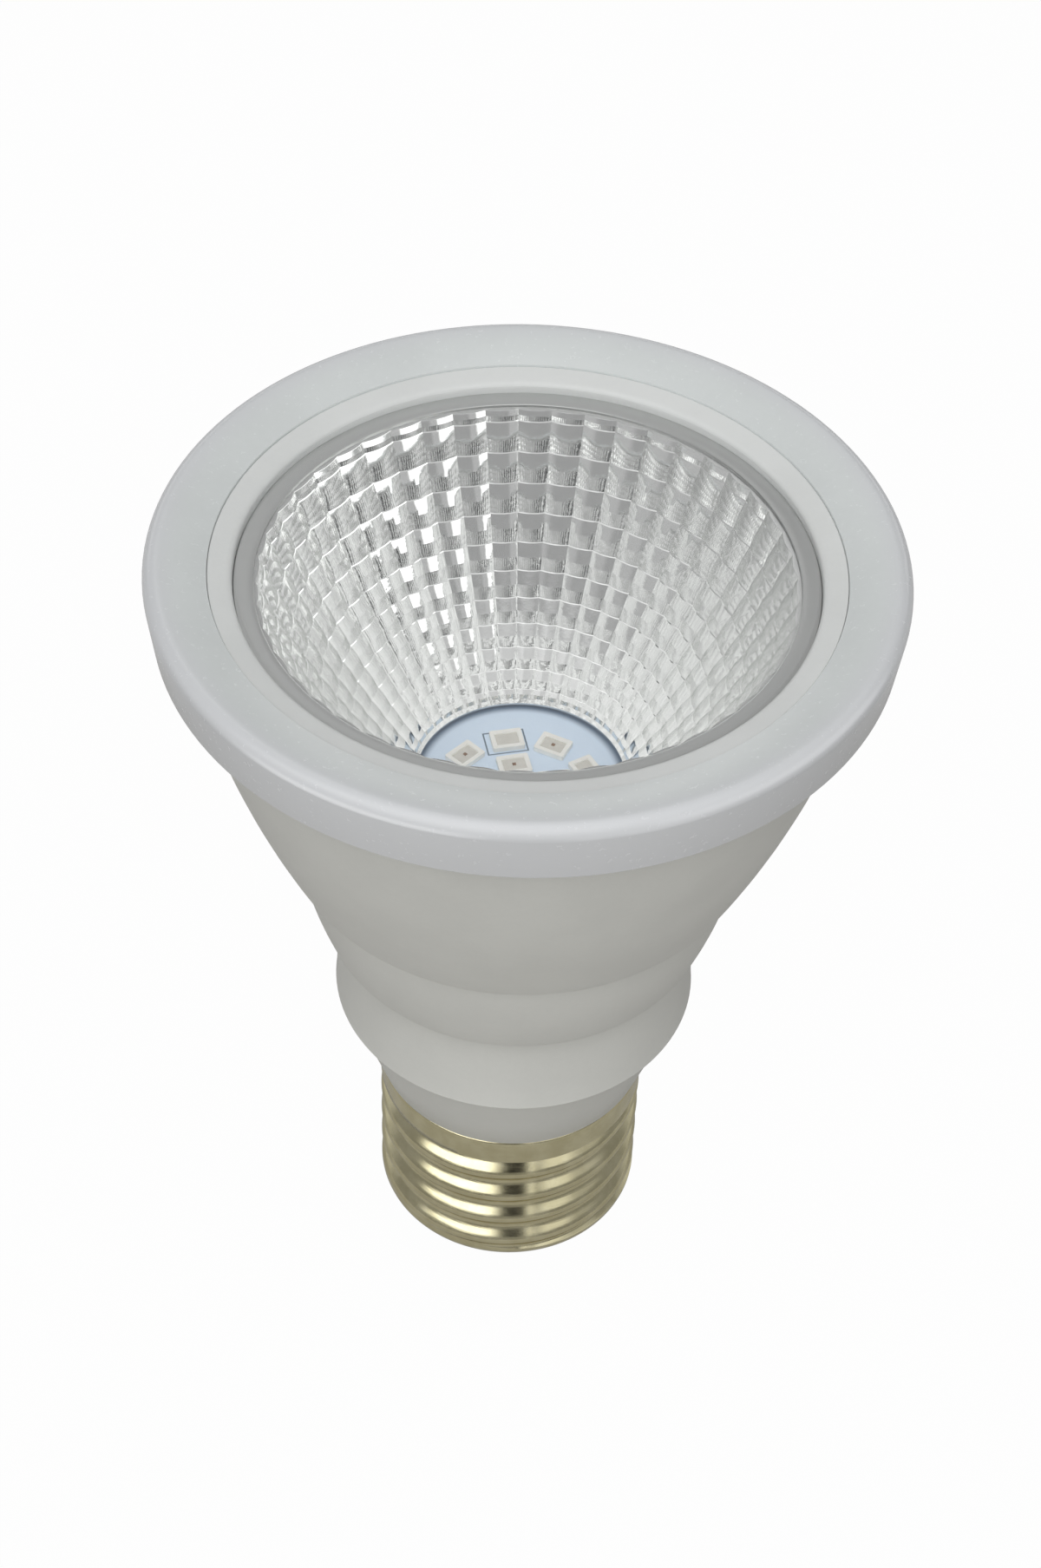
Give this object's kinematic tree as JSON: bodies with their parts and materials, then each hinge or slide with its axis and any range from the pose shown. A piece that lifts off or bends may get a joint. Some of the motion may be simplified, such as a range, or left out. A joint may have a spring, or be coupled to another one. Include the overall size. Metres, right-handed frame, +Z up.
{
  "type": "grow light bulb",
  "caption": "Reflector grow light bulb: white stepped plastic housing, faceted reflector bowl, lamp board behind a clear cover, and a nickel screw base.",
  "frame": {"origin": "middle of the contact's flat face at the foot of the base", "axes": "+Z up along the bulb's axis from the contact to the front, +X to the right of the pictured front"},
  "size_m": [0.0658, 0.0658, 0.0905],
  "materials": {
    "housing_plastic": "fine matt moulded plastic",
    "reflector_chrome": "vacuum-plated facets",
    "cover_clear": "clear polished plastic",
    "base_nickel": "bright nickel with a warm tint",
    "contact_steel": "plain plated steel",
    "insulator_black": "opaque black glass",
    "heat_aluminium": "plain pressed sheet",
    "lamp_board": "white solder mask with a blue cast",
    "lamp_body": "cream tray with a clear gel window",
    "driver_green": "glass-fibre board with green mask",
    "black_epoxy": "moulded epoxy",
    "can_sleeve": "shrunk plastic sleeve",
    "film_red": "dipped epoxy",
    "tape_yellow": "winding tape",
    "ferrite_grey": "sintered ferrite",
    "lead_red": "silicone sleeve",
    "lead_black": "silicone sleeve"
  },
  "bodies": {
    "root": {"screw_shell": "base_nickel", "base_insulator": "insulator_black", "centre_contact": "contact_steel", "housing": "housing_plastic", "front_bezel": "housing_plastic", "trim_ring": "housing_plastic", "reflector": "reflector_chrome", "front_cover": "cover_clear", "heat_spreader": "heat_aluminium", "led_board": "lamp_board", "led_01": "lamp_body", "led_02": "lamp_body", "led_03": "lamp_body", "led_04": "lamp_body", "led_05": "lamp_body", "led_06": "lamp_body", "led_07": "lamp_body", "led_08": "lamp_body", "led_09": "lamp_body", "led_10": "lamp_body", "led_11": "lamp_body", "board_screw_a": "contact_steel", "board_screw_b": "contact_steel", "driver_board": "driver_green", "transformer": "tape_yellow", "main_capacitor": "can_sleeve", "output_capacitor": "can_sleeve", "drum_choke": "ferrite_grey", "film_capacitor": "film_red", "bridge_rectifier": "black_epoxy", "driver_chip": "black_epoxy", "fusible_resistor": "tape_yellow", "centre_lead": "lead_red", "shell_lead": "lead_black", "lamp_lead_red": "lead_red", "lamp_lead_black": "lead_black"}
  },
  "joints": []
}
